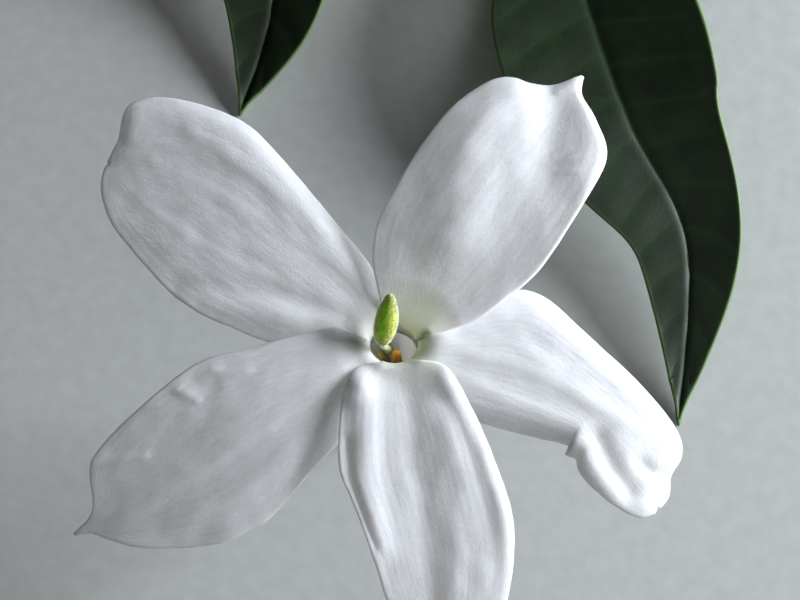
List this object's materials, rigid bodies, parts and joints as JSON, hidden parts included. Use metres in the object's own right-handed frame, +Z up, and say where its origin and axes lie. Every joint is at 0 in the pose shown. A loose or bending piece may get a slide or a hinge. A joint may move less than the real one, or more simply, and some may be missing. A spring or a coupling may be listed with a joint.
{
  "type": "jasmine sprig",
  "caption": "Cut sprig of common jasmine lying on a surface: an open white flower held up on its stalk, a green stem and pinnate leaves at its node.",
  "frame": {"origin": "on the surface that the sprig lies on, under the middle of its footprint", "axes": "+Z up, the way the flower faces; +Y along the stem from the flower to the cut end; +X to the right seen from the flower's front"},
  "size_m": [0.052, 0.11, 0.0289],
  "materials": {
    "petal": "white to pale grey-lilac petal, soft satin, fine cell texture",
    "stigma": "bright yellow-green, matt, finely pimpled",
    "anther": "orange, matt with pollen",
    "calyx": "mid green, satin",
    "stem": "green, satin, finely ridged",
    "leaf": "dark green, glossy above, with paler veins"
  },
  "bodies": {
    "root": {"corolla": "petal", "pistil": "stigma", "stamen_left": "anther", "stamen_front": "anther", "calyx": "calyx", "pedicel": "stem", "stem": "stem", "leaf_left": "leaf", "leaf_right": "leaf"}
  },
  "joints": []
}
